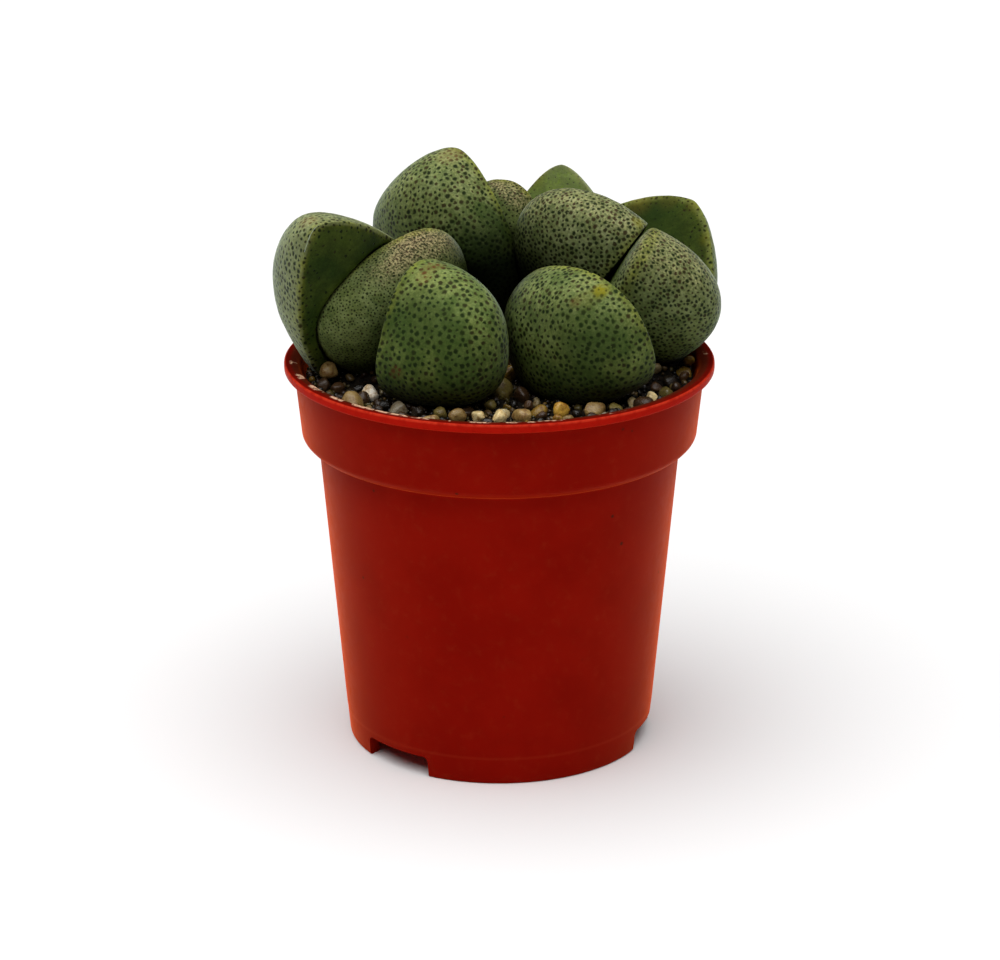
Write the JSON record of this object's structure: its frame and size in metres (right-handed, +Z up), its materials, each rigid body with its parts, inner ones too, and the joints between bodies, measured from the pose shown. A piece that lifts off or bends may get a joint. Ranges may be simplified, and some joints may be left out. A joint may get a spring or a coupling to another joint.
{
  "type": "potted split rock",
  "caption": "Small round plastic nursery pot with a wide rim band, filled with soil and grit, holding thick egg-shaped split rock leaves that grow in pairs.",
  "frame": {"origin": "centre of the pot's foot, on the surface that the pot stands on", "axes": "+Z up along the pot's axis; the front of the picture looks along +Y, so the front is at -Y and +X is to its right"},
  "size_m": [0.0566, 0.055, 0.0747],
  "materials": {
    "pot_plastic": "satin",
    "soil": "matte",
    "grit": "matte",
    "leaf_green": "satin",
    "leaf_brown": "satin"
  },
  "bodies": {
    "root": {"pot": "pot_plastic", "soil": "soil", "grit": "grit", "leaf_front_left": "leaf_green", "leaf_front_right": "leaf_green", "leaf_left_front": "leaf_brown", "leaf_left_rear": "leaf_green", "leaf_tall": "leaf_green", "leaf_tall_mate": "leaf_green", "leaf_middle": "leaf_brown", "leaf_back": "leaf_green", "leaf_right_upper": "leaf_green", "leaf_right_lower": "leaf_green", "leaf_right_rear": "leaf_green"}
  },
  "joints": []
}
